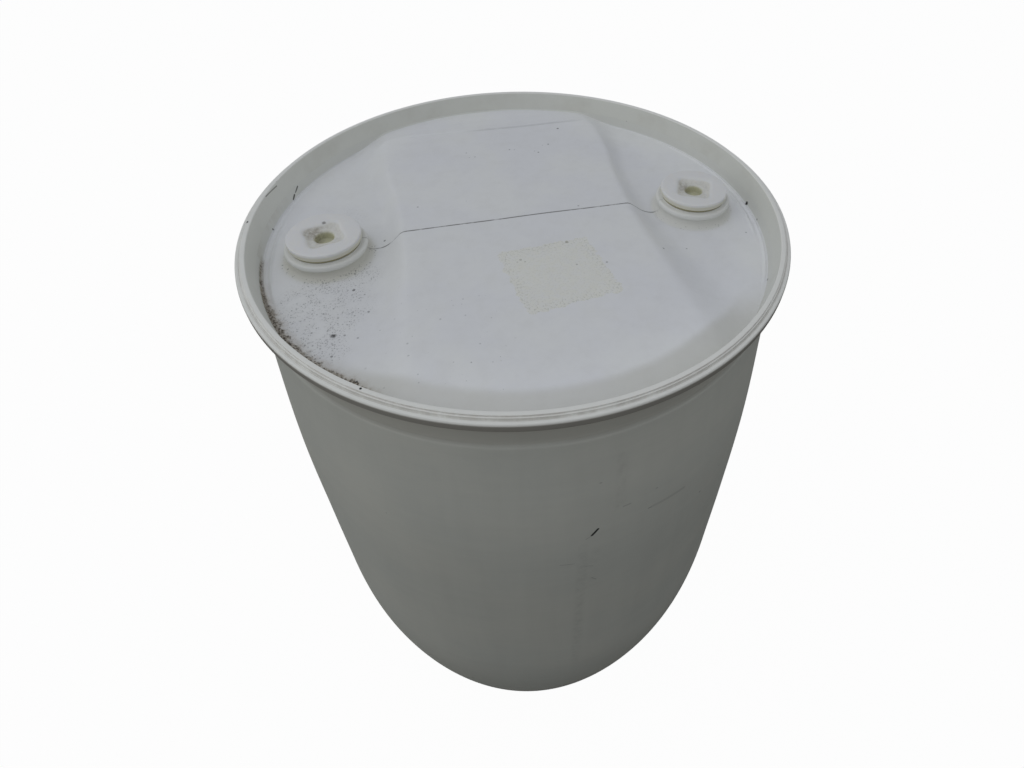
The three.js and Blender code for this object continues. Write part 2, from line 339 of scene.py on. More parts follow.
def cavity_rows(angles):
    """The inside of the wall, in the same order."""
    out = np.stack([np.cos(angles), np.sin(angles), 0 * angles], -1)
    up = np.array([0, 0, 1.0])
    rows = []
    for r in np.linspace(0, HEAD_R - 1.5, 44):
        flat = out * r
        rows.append(flat + (head_height(flat[:, 0], flat[:, 1]) - WALL)[:, None] * up)
    heights = np.linspace(NECK_Z - WALL, CHINE_Z, 26)
    side = np.stack([side_radius(heights) - WALL - 1, heights], -1)
    chine = rounded([
        side[-1],
        (CHINE_CORNER_R - WALL - 1, WALL, 15),
        (STAND_IN_R, WALL, 5),
        (PUSH_UP_R, PUSH_UP + WALL, 8),
        (0, PUSH_UP + WALL),
    ])[1:]
    for r, z in [*side, *chine]:
        rows.append(out * r + z * up)
    return np.array(rows)


def helix(thread, base_r, grow, from_turn, to_turn, per_turn=72, fade=0.12):
    """A helical ridge standing on a cylinder, with ends that run out smoothly."""
    root, crest = thread["root_w"] / 2 + grow, thread["crest_w"] / 2 + grow
    depth = thread["depth"]
    steps = int(round((to_turn - from_turn) * per_turn))
    turn = np.linspace(from_turn, to_turn, steps + 1)
    rise = np.clip(np.minimum(turn - from_turn, to_turn - turn) / fade, 0.02, 1)
    buried = 1.0
    mid = (depth * 0.5, (root + crest) / 2)
    profile = np.array([
        (-buried, -root), (0, -root), (mid[0], -mid[1]), (depth * 0.9, -crest), (depth, -crest * 0.6),
        (depth, crest * 0.6), (depth * 0.9, crest), mid, (0, root), (-buried, root),
    ])
    radial = np.where(profile[:, 0] > 0, profile[:, 0] * rise[:, None] + 0.01, profile[:, 0])
    radius = base_r + radial
    angle = (turn * TURN)[:, None]
    height = THREAD_START_Z + (turn * thread["pitch"])[:, None] + profile[None, :, 1]
    points = np.stack([radius * np.cos(angle), radius * np.sin(angle), height + 0 * radius], -1)
    n = len(profile)
    faces = grid_faces(steps + 1, n, False).tolist()
    faces += [list(range(n)), [steps * n + k for k in reversed(range(n))]]
    return points.reshape(-1, 3), faces


def thread_object(name, x, *args, **kwargs):
    points, faces = helix(*args, **kwargs)
    return make_object(name, points + np.array([x, 0, 0]), faces)


def lathe_object(name, x, outline, angles, **kwargs):
    points, faces = lathe(outline, angles, **kwargs)
    return make_object(name, points + np.array([x, 0, 0]), faces)


def neck_outline():
    """A solid neck, from the land its gasket lies on down to the head and through it."""
    return rounded([
        (0, LAND_Z),
        (LAND_R, LAND_Z, 0.4),
        (LAND_R + 0.3, LAND_Z - 0.8, 0.2),
        (COLLAR_R, LAND_Z - 0.9, 3.0),
        (COLLAR_R, LAND_Z - 7.2, 2.6),
        (40.2, LAND_Z - 8.6, 1.4),
        (39.4, HEAD_Z + 3.4, 4.0),
        (45.5, HEAD_Z + 0.25, 4.0),
        (49.5, HEAD_Z - 0.8),
        (36, HEAD_Z - 1.5, 0.5),
        (36, LAND_Z - 26, 1),
        (0, LAND_Z - 26),
    ], 6)


def neck_swell(x):
    """The parting line down the side of a neck that faces the middle of the drum."""
    inward = 0 if x < 0 else math.pi

    def swell(radius, height, angle):
        across = np.abs(np.sin(angle)) * radius
        toward = np.cos(angle - inward) > 0
        return np.where((radius > 38.8) & toward, ridge(across, 0.25, 0.6), 0)

    return swell


def bore(name, x, thread):
    """The cutter for a threaded neck."""
    bore_r = thread["root_r"] + THREAD_GAP
    outline = rounded([
        (0, LAND_Z + 1),
        (bore_r + 2.6, LAND_Z + 1),
        (bore_r, LAND_Z - 1.2, 0.8),
        (bore_r, LAND_Z - 27),
        (0, LAND_Z - 27),
    ])
    tool = lathe_object(name, x, outline, seam_angles(128, ()))
    top_turn = (LAND_Z + thread["pitch"] - THREAD_START_Z) / thread["pitch"]
    groove = thread_object(name + "_groove", x, thread, bore_r, THREAD_GAP, -0.5, top_turn)
    boolean(tool, groove, "UNION")
    return tool


def build_body():
    widths = (0.05, 0.1, 0.15, 0.22, 0.3, 0.42, 0.6)
    angles = seam_angles(360, widths)
    rows = finish_outer(outer_rows(angles))
    outer, outer_faces = weld(rows.reshape(-1, 3), grid_faces(len(rows), len(angles), False).tolist())
    coarse = seam_angles(120, ())
    rows = cavity_rows(coarse)
    inner_faces = grid_faces(len(rows), len(coarse), False, flip=True).tolist()
    inner, inner_faces = weld(rows.reshape(-1, 3), inner_faces)
    faces = outer_faces + [[v + len(outer) for v in face] for face in inner_faces]
    body = make_object("drum_body_moulding", np.concatenate([outer, inner]), faces)
    neck_angles = seam_angles(144, (0.3, 0.6, 0.9, 1.3, 1.8))
    for side, thread in ((-1, FINE), (1, COARSE)):
        x = side * BUNG_X
        stub = lathe_object("stub", x, neck_outline(), neck_angles, swell=neck_swell(x))
        boolean(body, stub, "UNION")
        boolean(body, bore("bore", x, thread), "DIFFERENCE")
    return body


# ---------------------------------------------------------------------------- ring, plugs, gaskets


def build_ring():
    """The web that stands on the body, the stepped lip at its top and the flange outside it."""
    bottom = SEAM_Z + 0.05
    web_in = HEAD_R + (bottom - HEAD_Z) * WALL_LEAN
    web_out = NECK_R + (bottom - NECK_Z) * NECK_LEAN
    top, ledge, under = HEIGHT, HEIGHT - LEDGE_DROP, HEIGHT - FLANGE_DROP
    outline = rounded([
        (web_in, bottom),
        (LIP_IN_R - 0.2, top - 2.0, 0.8),
        (LIP_IN_R + 0.3, top, 0.7),
        (LIP_IN_R + 4.6, top, 0.5),
        (LIP_IN_R + 4.8, top - 1.7, 0.3),
        (LIP_IN_R + 6.0, top - 1.9, 0.4),
        (LIP_IN_R + 6.5, ledge - 0.5, 0.5),
        (LIP_IN_R + 7.2, ledge - 0.5, 0.4),
        (BODY_R - 1.2, ledge, 1.6),
        (BODY_R, ledge - 2.4, 1.4),
        (BODY_R - 0.2, under + 2.4, 1.0),
        (BODY_R - 2.0, under, 1.2),
        (web_out + 3.2, under, 1.6),
        (web_out + 0.6, under - 3.0, 1.2),
        (web_out, bottom, 0.4),
        (web_in, bottom),
    ], 5)
    return lathe_object("handling_ring_moulding", 0, outline[:-1], seam_angles(360, ()), closed=True)


def recess_cutter(name, x, twist):
    """The four-lobed wrench recess, with a rolled edge at the top and a rounded floor."""
    angles = seam_angles(120, ())
    top = PLUG_TOP
    levels = [  # height, and how far the outline has grown there
        (top - 3.8, -6.0), (top - 3.6, -4.2), (top - 3.1, -2.6), (top - 2.3, -1.2), (top - 1.5, 0.0),
        (top - 0.9, 1.0), (top - 0.45, 2.0), (top - 0.15, 3.1), (top, 4.6), (top + 1, 9.0),
    ]
    outline_r = 20.6 + 2.6 * np.cos(4 * (angles - twist)) + 0.3 * np.cos(8 * (angles - twist))
    rings = [(levels[0][0], 0 * angles)]
    rings += [(z, outline_r + grow) for z, grow in levels]
    rings += [(levels[-1][0], 0 * angles)]
    rows = np.array([
        np.stack([x + r * np.cos(angles), r * np.sin(angles), 0 * angles + z], -1)
        for z, r in reversed(rings)
    ])
    points, faces = weld(rows.reshape(-1, 3), grid_faces(len(rows), len(angles), False).tolist())
    return make_object(name, points, faces)


def build_plug(name, x, thread, twist):
    """A flange, a threaded barrel open below, a wrench recess and a blind hole in its floor."""
    root_r = thread["root_r"]
    boss_r = TAP_R + WEB_T
    web_z = RECESS_FLOOR_Z - WEB_T
    flange_z = GASKET_HIGH + 0.3
    outline = rounded([
        (0, PLUG_TOP),
        (FLANGE_R, PLUG_TOP, 1.7),
        (FLANGE_R, flange_z, 0.9),
        (root_r + 1.2, flange_z, 0.4),
        (root_r, flange_z - 1.2, 0.6),
        (root_r, PLUG_BOTTOM, 0.9),
        (root_r - BARREL_T, PLUG_BOTTOM, 0.9),
        (root_r - BARREL_T, web_z, 1.5),
        (boss_r, web_z, 1.5),
        (boss_r, TAP_BOTTOM_Z - 3, 1),
        (0, TAP_BOTTOM_Z - 3),
    ])
    plug = lathe_object(name, x, outline, seam_angles(144, ()))
    boolean(plug, thread_object("ridge", x, thread, root_r, 0, 0, thread["turns"]), "UNION")
    boolean(plug, recess_cutter("recess", x, twist), "DIFFERENCE")
    tap = rounded([
        (0, PLUG_TOP + 1),
        (TAP_R + 7, PLUG_TOP + 1),
        (TAP_R + 2.4, PLUG_TOP - 3.6, 1.4),
        (TAP_R, PLUG_TOP - 5.6, 1.4),
        (TAP_R - 0.6, TAP_BOTTOM_Z, 1.2),
        (0, TAP_BOTTOM_Z),
    ])
    boolean(plug, lathe_object("tap", x, tap, seam_angles(96, ())), "DIFFERENCE")
    return plug


def build_gasket(name, x, thread):
    inner = thread["root_r"] + thread["depth"] + 0.6
    low, high = GASKET_LOW, GASKET_HIGH
    outline = rounded([
        (inner, low),
        (inner, high, 0.5),
        (GASKET_R, high, 0.6),
        (GASKET_R + 0.25, (low + high) / 2, 0.5),
        (GASKET_R, low, 0.6),
        (inner, low),
    ])
    return lathe_object(name, x, outline[:-1], seam_angles(144, ()), closed=True)


# ---------------------------------------------------------------------------- materials


class Value:
    """A socket of a shader tree that takes part in arithmetic."""

    def __init__(self, tree, socket):
        self.tree = tree
        self.socket = socket

    def op(self, kind, *others, clamp=False):
        inputs = dict(enumerate((self, *others)))
        node = self.tree.node("ShaderNodeMath", inputs, operation=kind, use_clamp=clamp)
        return Value(self.tree, node.outputs[0])

    def __add__(self, other):
        return self.op("ADD", other)

    def __sub__(self, other):
        return self.op("SUBTRACT", other)

    def __mul__(self, other):
        return self.op("MULTIPLY", other)

    __radd__ = __add__
    __rmul__ = __mul__

    def __rsub__(self, other):
        return (self * -1) + other

    def abs(self):
        return self.op("ABSOLUTE")

    def max(self, other):
        return self.op("MAXIMUM", other)

    def min(self, other):
        return self.op("MINIMUM", other)

    def near(self, centre, half, soft):
        """1 within `half` of a centre, falling to 0 over `soft`."""
        return (self - centre).abs().fall(half, half + soft)

    def rise(self, low, high):
        """0 below `low` and 1 above `high`."""
        return self.step(low, high, 0.0, 1.0)

    def fall(self, low, high):
        """1 below `low` and 0 above `high`."""
        return self.step(low, high, 1.0, 0.0)

    def step(self, low, high, before, after):
        inputs = {"Value": self, "From Min": low, "From Max": high, "To Min": before, "To Max": after}
        node = self.tree.node("ShaderNodeMapRange", inputs, interpolation_type="SMOOTHSTEP")
        return Value(self.tree, node.outputs["Result"])


class Tree:
    """The node tree of a material or a world, emptied."""

    def __init__(self, owner):
        owner.use_nodes = True
        self.tree = owner.node_tree
        self.tree.nodes.clear()

    def node(self, kind, inputs=None, **settings):
        """A new node, each of whose inputs is a constant, a Value or another node's socket."""
        made = self.tree.nodes.new(kind)
        for key, value in settings.items():
            setattr(made, key, value)
        for key, item in (inputs or {}).items():
            source = item.socket if isinstance(item, Value) else item
            if isinstance(source, bpy.types.NodeSocket):
                self.tree.links.new(source, made.inputs[key])
            else:
                made.inputs[key].default_value = source
        return made

    def split(self, vector):
        node = self.node("ShaderNodeSeparateXYZ", {0: vector})
        return [Value(self, socket) for socket in node.outputs]

    def end(self, kind, unseen, seen):
        """Finishes a tree that the camera sees as one shader and all other light as another."""
        to_camera = self.node("ShaderNodeLightPath").outputs["Is Camera Ray"]
        both = self.node("ShaderNodeMixShader", {0: to_camera, 1: unseen.outputs[0], 2: seen.outputs[0]})
        self.node(kind, {0: both.outputs[0]})


class Shader(Tree):
    """A material, and the few calls that describe its look.

    x, y, z, radius and azimuth (degrees round from +X) are the place on the object; flat is the
    place seen from above, and level is 1 on surfaces that face up.
    """

    def __init__(self, name, dimensions="3D"):
        self.dimensions = dimensions
        self.material = bpy.data.materials.new(name)
        super().__init__(self.material)
        self.place = self.scaled(self.node("ShaderNodeTexCoord").outputs["Object"], 1 / MM)
        self.x, self.y, self.z = self.split(self.place)
        self.flat = self.vector(self.x, self.y, 0.0)
        self.radius = (self.x * self.x + self.y * self.y).op("SQRT")
        self.azimuth = self.y.op("ARCTAN2", self.x) * (180 / math.pi)
        self.level = self.split(self.node("ShaderNodeNewGeometry").outputs["Normal"])[2].rise(0.6, 0.9)

    def vector(self, x, y, z):
        return self.node("ShaderNodeCombineXYZ", {0: x, 1: y, 2: z}).outputs[0]

    def combine(self, operation, first, second, output=0):
        """A vector operation on sockets or constant vectors."""
        node = self.node("ShaderNodeVectorMath", {0: first, 1: second}, operation=operation)
        return node.outputs[output]

    def scaled(self, vector, factor):
        """A place or a colour, multiplied by a value."""
        node = self.node("ShaderNodeVectorMath", {0: vector, "Scale": factor}, operation="SCALE")
        return node.outputs[0]

    def distance(self, first, second):
        return Value(self, self.combine("DISTANCE", first, second, 1))

    def shifted(self, place, seed):
        """The same place moved far away, so that each seed sees another part of a pattern."""
        return self.combine("ADD", place or self.place, (seed * 731.3, seed * -517.9, seed * 389.1))

    def noise(self, size, detail=2.0, rough=0.5, place=None, seed=0.0):
        """Noise between 0 and 1 whose features are about `size` millimetres across."""
        inputs = {"Vector": self.shifted(place, seed), "Scale": 1 / size}
        inputs |= {"Detail": detail, "Roughness": rough}
        node = self.node("ShaderNodeTexNoise", inputs, noise_dimensions=self.dimensions)
        return Value(self, node.outputs["Fac"])

    def dots(self, spacing, radius, share, place=None, seed=0.0):
        """Round specks: one in each cell of `spacing` millimetres, kept in a share of the cells."""
        inputs = {"Vector": self.shifted(place, seed), "Scale": 1 / spacing}
        cells = self.node("ShaderNodeTexVoronoi", inputs, voronoi_dimensions=self.dimensions)
        away = Value(self, cells.outputs["Distance"])
        chance = self.node("ShaderNodeSeparateColor", {0: cells.outputs["Color"]})
        size, pick = Value(self, chance.outputs[0]), Value(self, chance.outputs[1])
        reach = (size * size * 0.8 + 0.2) * (radius / spacing)
        return away.fall(reach * 0.7, reach * 1.3) * pick.op("LESS_THAN", share)

    def mix(self, share, first, second):
        """A share of the second colour over the first. A constant colour is (red, green, blue)."""
        first, second = ((*item, 1) if isinstance(item, tuple) else item for item in (first, second))
        return self.node("ShaderNodeMix", {0: share, 6: first, 7: second}, data_type="RGBA").outputs[2]

    def plastic(self, colour, roughness, bumps, subsurface=0.0, specular=0.4):
        """bumps is a list of (height value, millimetres)."""
        height = sum(value * depth for value, depth in bumps)
        bump = self.node("ShaderNodeBump", {"Strength": 1.0, "Distance": MM, "Height": height})
        surface = self.node("ShaderNodeBsdfPrincipled", {
            "Base Color": colour,
            "Roughness": roughness,
            "Specular IOR Level": specular,
            "IOR": 1.5,
            "Subsurface Weight": subsurface,
            "Subsurface Radius": (1.0, 0.9, 0.7),
            "Subsurface Scale": 4 * MM,
            "Normal": bump.outputs[0],
        })
        self.node("ShaderNodeOutputMaterial", {0: surface.outputs[0]})
        return self.material


def srgb(red, green, blue):
    """A display colour, 0 to 255, as linear light."""

    def linear(c):
        c /= 255
        return c / 12.92 if c <= 0.04045 else ((c + 0.055) / 1.055) ** 2.4

    return linear(red), linear(green), linear(blue)


def inside_quad(shader, corners, soft):
    """1 inside a four-cornered patch given anticlockwise as (x, y)."""
    mask = None
    for k in range(4):
        (x0, y0), (x1, y1) = corners[k], corners[(k + 1) % 4]
        length = math.hypot(x1 - x0, y1 - y0)
        a, b = -(y1 - y0) / length, (x1 - x0) / length
        distance = shader.x * a + shader.y * b - (a * x0 + b * y0)
        side = distance.rise(-soft / 2, soft / 2)
        mask = side if mask is None else mask * side
    return mask


def spot(shader, at, radius, soft):
    """1 near an upright line through a point given as (x, y)."""
    return shader.distance(shader.flat, (*at, 0.0)).fall(radius, radius + soft)


def on_side(z, degrees):
    """A point on the outside of the body."""
    r = float(side_radius(np.array(float(z))))
    a = math.radians(degrees)
    return (r * math.cos(a), r * math.sin(a), z)


def stroke(shader, ends, half, soft):
    """1 along a straight scratch between two (x, y, z) points."""
    start, end = (np.array(point, float) for point in ends)
    run = end - start
    here = shader.combine("SUBTRACT", shader.place, tuple(start))
    along = Value(shader, shader.combine("DOT_PRODUCT", here, tuple(run / (run @ run)), 1))
    nearest = shader.scaled(tuple(run), along.op("MULTIPLY", 1.0, clamp=True))
    return shader.distance(here, nearest).fall(half, half + soft)


BLACK = srgb(30, 29, 27)
SOIL = srgb(74, 68, 56)
TAN = srgb(150, 142, 122)


def head_or_wall(x, y):
    """The height of the head, or of the wall inside the rim, below a point seen from above."""
    beyond = math.hypot(x, y) - HEAD_R
    return HEAD_Z + beyond / WALL_LEAN if beyond > 0 else float(head_height(np.float64(x), np.float64(y)))


# Single specks on the head and the wall inside the rim, as x, y, radius and darkness
HEAD_DOTS = [
    (90, 192, 1.9, 0.75), (51, 135, 1.6, 0.50), (47, 139, 1.1, 0.35), (68, 153, 1.7, 0.50),
    (60, 152, 1.0, 0.35), (16, 150, 1.5, 0.40), (22, 148, 1.1, 0.30), (-30, 141, 1.5, 0.30),
    (-37, 141, 1.1, 0.25), (174, -75, 1.4, 0.35), (142, -84, 1.7, 0.60), (252, -62, 1.4, 0.40),
    (236, -146, 1.9, 0.75), (274, -44, 1.5, 0.60), (277.3, -10, 3.0, 1.0),
    (-184, -65, 1.9, 0.70), (-170, -101, 1.6, 0.55), (-204, -154, 1.6, 0.60),
    (-182, -191, 1.6, 0.80), (-271, 59, 1.7, 0.80), (-261, 101, 1.8, 0.75),
    (-196, 50, 1.3, 0.45), (-183, 35, 1.2, 0.40), (-150, 11, 1.8, 0.60), (-146, 237, 1.7, 0.70),
    (41, -57, 2.4, 0.85), (-13, -76, 1.9, 0.55), (-9, -80, 1.4, 0.45), (-17, -79, 1.2, 0.40),
    (42, -96, 1.5, 0.50),
]
# Strokes on the wall inside the rim: two ends, half-width, darkness
WALL_MARKS = [
    (((-246, 131, 852), (-250, 124, 848)), 0.6, 0.85),
    (((-251, 121, 847), (-253, 116, 844)), 1.0, 0.90),
    (((-82, 268, 858), (-74, 270, 857)), 0.8, 0.55),
    (((-90, 265, 857), (-86, 266, 858)), 0.6, 0.45),
]
LABEL_CORNERS = [(-21, -159), (78, -145), (63, -53), (-36, -60)]


def head_base(s):
    """Even plastic with faint clouding, a little warmer on the wall inside the rim and at the front."""
    cloud = s.noise(110, 3, 0.55)
    mottle = s.noise(9, 3, 0.6, seed=3)
    colour = s.mix(cloud.rise(0.3, 0.7), srgb(231, 232, 234), srgb(234, 235, 234))
    wall = s.radius.rise(276.9, 277.6)
    colour = s.mix(wall, colour, srgb(222, 223, 217))
    # Painted shade: the wall inside the rim is a little darker on the right.
    colour = s.scaled(colour, 1 - wall * s.x.rise(120, 260) * 0.07)
    front = s.y.fall(-205, -140) * s.radius.rise(246, 258)
    # Painted light: the head is paler towards the foot of the wall and towards the front, except in the
    # band at the front edge.
    painted_light = s.radius.rise(200, 268) * s.radius.fall(275.5, 277) * 0.06 + s.y.fall(-240, -40) * 0.03
    colour = s.scaled(colour, (1 + (mottle - 0.5) * 0.035) * (1 + painted_light * front.fall(0, 1)))
    colour = s.mix(front * 0.55, colour, srgb(219, 218, 209))
    return colour, mottle


def gutter_grime(s, colour, crumbs, dust):
    """Dirt along the foot of the wall on the left. It widens towards the front, where the lip hides
    more of the floor."""
    turn = s.azimuth + s.azimuth.op("LESS_THAN", 0.0) * 360
    ragged = s.noise(7, 4, 0.7, seed=29)
    width = turn.rise(186, 202) * 4.8 + turn.rise(206, 228) * 7 + 1.6
    width = width * turn.rise(176, 182) * turn.fall(225, 239)
    edge = width + (ragged - 0.5) * width.min(7) * 1.8 - (HEAD_R - s.radius)
    low = s.z.fall(845, 849).max(s.radius.fall(275.5, 277))
    halo = (edge + 6).rise(-2, 9) * width.rise(0.2, 2.5) * low
    core = edge.rise(-1, 2.5) * width.rise(0.2, 2) * low
    crumb = core * crumbs.rise(0.52, 0.62)
    colour = s.mix(halo * 0.36, colour, srgb(156, 138, 108))
    colour = s.mix(core * (crumbs.rise(0.3, 0.6) * 0.30 + 0.30), colour, srgb(130, 112, 82))
    colour = s.mix(crumb * 0.70, colour, srgb(54, 46, 34))
    stained = s.azimuth.rise(150, 166) * s.radius.rise(277.5, 279) * dust.rise(0.4, 0.6)
    return s.mix(stained * 0.16, colour, srgb(160, 150, 120)), core, crumb


def head_specks(s, colour, crumbs):
    """Specks spread over the left pocket and round both necks, with dirt and painted shade under each
    collar.
    """
    field = s.noise(16, 3, 0.6, seed=41)
    area = spot(s, (-214, -84), 20, 44).max(spot(s, (-216, -132), 12, 34))
    area = area.max(spot(s, (-180, -42), 8, 26) * 0.9).max(spot(s, (-196, 66), 8, 30) * 0.35)
    density = area * field.rise(0.30, 0.60)
    faint = s.dots(2.2, 0.85, 0.6, seed=1) * density.rise(0.05, 0.7)
    fleck = s.noise(2.6, 2, 0.6, seed=37).rise(0.56, 0.68) * density
    bold = s.dots(5.0, 1.2, 0.16, seed=2) * area.rise(0.15, 0.6)
    blot = spot(s, (-203, -127), 0.8, 3.4) * crumbs.rise(0.38, 0.48)
    far = s.dots(36, 1.3, 0.16, seed=3) * s.radius.fall(276.5, 278.5) * s.level
    front_left = spot(s, (-110, -170), 40, 50) * s.dots(8, 1.2, 0.2, seed=9)
    colour = s.mix(area * field * 0.10 * s.level, colour, SOIL)
    specks = (faint * 0.42).max(fleck * 0.26).max(bold * 0.48).max(blot * 0.95).max(far * 0.4)
    specks = specks.max(front_left * 0.25)
    for x, share in ((-BUNG_X, 0.30), (BUNG_X, 0.12)):
        from_neck = s.distance(s.flat, (x, 0.0, 0.0))
        colour = s.mix(from_neck.fall(45, 50) * 0.6, colour, srgb(226, 226, 218))
        # Dirt and painted shade on the neck below each collar
        below = from_neck.fall(41, 55) * s.z.fall(850, 853)
        specks = specks * (1 - from_neck.fall(48, 50) * s.z.rise(846, 850))
        colour = s.mix(below * share, colour, srgb(176, 170, 142))
        gritty = from_neck.near(46, 2, 3) * s.y.fall(0, 10) * s.dots(3.0, 1.1, 0.5, seed=11)
        specks = specks.max(gritty * share * 1.6)
    return s.mix(specks * s.level, colour, srgb(58, 56, 54))


def head_marks(s, colour):
    """The single specks and strokes."""
    marks = None
    for x, y, size, strength in HEAD_DOTS:
        dot = s.distance(s.place, (x, y, head_or_wall(x, y))).fall(size * 0.5, size) * strength
        marks = dot if marks is None else marks.max(dot)
    for ends, half, strength in WALL_MARKS:
        marks = marks.max(stroke(s, ends, half, 0.7) * strength)
    return s.mix(marks, colour, BLACK)


def label_residue(s, colour):
    """What is left of a label: thin, warm and speckled, most of all near its edges."""
    torn = s.noise(9, 4, 0.72, seed=43)
    patch = inside_quad(s, LABEL_CORNERS, 10.0)
    inner = inside_quad(s, LABEL_CORNERS, 46.0)
    label = (patch + (torn - 0.5) * 1.7).rise(0.35, 0.62)
    colour = s.mix(label * (torn.rise(0.3, 0.7) * 0.25 + 0.30), colour, srgb(233, 232, 216))
    grain = s.noise(2.4, 3, 0.75, seed=47)
    grain = label * grain.rise(0.50, 0.70) * (inner.fall(0.5, 1.0) * 0.26 + 0.12)
    return s.mix(grain, colour, srgb(142, 141, 126)), label, grain


def head_lines(s, colour):
    """Dirt in the parting line, and painted shade in the fold at the back."""
    broken = s.noise(14, 3, 0.6, seed=53).rise(0.3, 0.55)
    line = s.y.abs().fall(0.5, 1.2) * (broken * 0.6 + 0.4)
    line = line * s.radius.fall(206, 210) * (s.level * 0.6 + 0.4) * (1 - s.x.rise(160, 166) * 0.8)
    colour = s.mix(line * 0.80, colour, srgb(70, 68, 63))
    # Painted shade along the fold at the back
    fold = s.y.near(FOLD_Y - 1, 1.2, 3.0) * s.x.near(50, 50, 45) * (broken * 0.4 + 0.6)
    return s.mix(fold * 0.20, colour, srgb(120, 120, 116))


def head_material():
    s = Shader("natural_polyethylene_head", "2D")
    colour, mottle = head_base(s)
    dust = s.noise(24, 4, 0.65, seed=23)
    colour = s.mix(dust.rise(0.4, 0.8) * 0.05 * s.level, colour, TAN)
    crumbs = s.noise(2.6, 3, 0.7, seed=31)
    colour, grime, crumb = gutter_grime(s, colour, crumbs, dust)
    colour = head_marks(s, head_specks(s, colour, crumbs))
    colour, label, grain = label_residue(s, colour)
    colour = head_lines(s, colour)
    roughness = (0.46 + (mottle - 0.5) * 0.16).max(grime * 0.9).max(label * 0.72)
    pores = s.noise(1.7, 3, 0.8, seed=33)
    bumps = [(mottle, 0.10), (pores, 0.03), (crumb, 0.9), (label, 0.05), (grain, 0.06)]
    return s.plastic(colour, roughness, bumps)


# Marks on the side: two ends as (height, degrees round from +X), half-width, softness, darkness
SIDE_MARKS = [
    (((679.5, -86.4), (670.5, -87.6)), 1.2, 0.8, 0.98),
    (((670.5, -87.5), (665.5, -88.8)), 0.3, 0.8, 0.8),
    (((681.0, -74.2), (678.0, -65.8)), 0.8, 2.8, 0.16),
    (((680.9, -75.2), (680.8, -74.6)), 0.5, 0.9, 0.75),
    (((705.4, -81.2), (705.7, -79.7)), 0.6, 1.2, 0.30),
    (((756.4, -86.5), (756.3, -86.2)), 0.7, 0.9, 0.80),
    (((623.1, -94.0), (620.5, -91.0)), 0.3, 1.0, 0.42),
    (((609.2, -88.5), (606.0, -87.0)), 0.4, 1.0, 0.35),
    (((578.8, -87.0), (572.0, -86.0)), 0.4, 1.0, 0.35),
    (((633.8, -59.1), (633.6, -58.8)), 0.6, 1.0, 0.50),
    (((711.4, -73.9), (711.2, -73.6)), 0.5, 0.9, 0.50),
    (((230.1, -119.2), (229.0, -118.7)), 0.8, 1.2, 0.50),
    (((788.0, -82.2), (708.0, -82.0)), 1.0, 7.0, 0.12),
    (((650.0, -89.3), (335.0, -89.5)), 1.0, 8.0, 0.13),
    (((640.0, -86.8), (560.0, -87.2)), 1.0, 9.0, 0.08),
]


def side_material():
    s = Shader("natural_polyethylene_side")

    # Faint wiped streaks run round the side, and stains run down it
    cloud = s.noise(120, 3, 0.55)
    mottle = s.noise(8, 3, 0.6, seed=3)
    wiped = s.noise(7, 4, 0.65, place=s.vector(s.azimuth * 0.30, 0.0, s.z * 0.5), seed=11)
    runs = s.noise(6, 4, 0.6, place=s.vector(s.azimuth * 1.5, 0.0, s.z * 0.02), seed=17)
    colour = s.mix(cloud.rise(0.3, 0.7), srgb(207, 208, 201), srgb(212, 212, 204))
    shade = 1 + (mottle - 0.5) * 0.035 + (wiped - 0.5) * 0.08 + (runs - 0.5) * 0.08
    # The groove under the ring holds dirt, and the side is a little darker towards the foot
    groove = s.z.rise(824, 828)
    shade = shade * (1 - s.z.fall(0, 420) * 0.05)
    # Painted shade: the front of the side is darker below about 800 mm
    shade = shade * (1 - s.z.fall(520, 800) * s.azimuth.near(-85, 25, 45) * 0.11)
    colour = s.scaled(colour, shade)
    colour = s.mix(groove * 0.14, colour, srgb(150, 128, 108))
    crease = s.z.near(825.5, 0.8, 2.5)
    colour = s.mix(crease * (cloud.rise(0.3, 0.6) * 0.12 + 0.12), colour, SOIL)

    rubbed = s.noise(9, 4, 0.7, seed=59)
    for ends, half, soft, strength in SIDE_MARKS:
        mark = stroke(s, (on_side(*ends[0]), on_side(*ends[1])), half, soft)
        if soft > 3:
            mark = mark * rubbed.rise(0.35, 0.75)
        colour = s.mix(mark * strength, colour, BLACK)
    specks = s.dots(30, 1.2, 0.22, seed=5)
    colour = s.mix(specks * 0.5, colour, SOIL)
    ticks = s.dots(1.0, 0.16, 0.05, place=s.vector(s.azimuth * 0.14, 0.0, s.z * 0.075), seed=7)
    colour = s.mix(ticks * rubbed.rise(0.45, 0.7) * 0.4, colour, SOIL)
    scuff = s.noise(3, 4, 0.7, place=s.vector(s.azimuth * 0.5, 0.0, s.z * 1.6), seed=71).rise(0.62, 0.72)
    colour = s.mix(scuff * rubbed.rise(0.5, 0.7) * 0.12, colour, srgb(220, 220, 216))

    roughness = 0.50 + (mottle - 0.5) * 0.16 + scuff * 0.1
    return s.plastic(colour, roughness, [(mottle, 0.10), (wiped, 0.10)])


# Specks on the lip of the ring, as a place and a radius
LIP_SPECKS = [
    ((-287, 32, 875), 2.6), ((-288.5, 37, 874.5), 1.6),
    ((-173, -228, 875), 1.5), ((-262, 108, 875), 1.2),
]


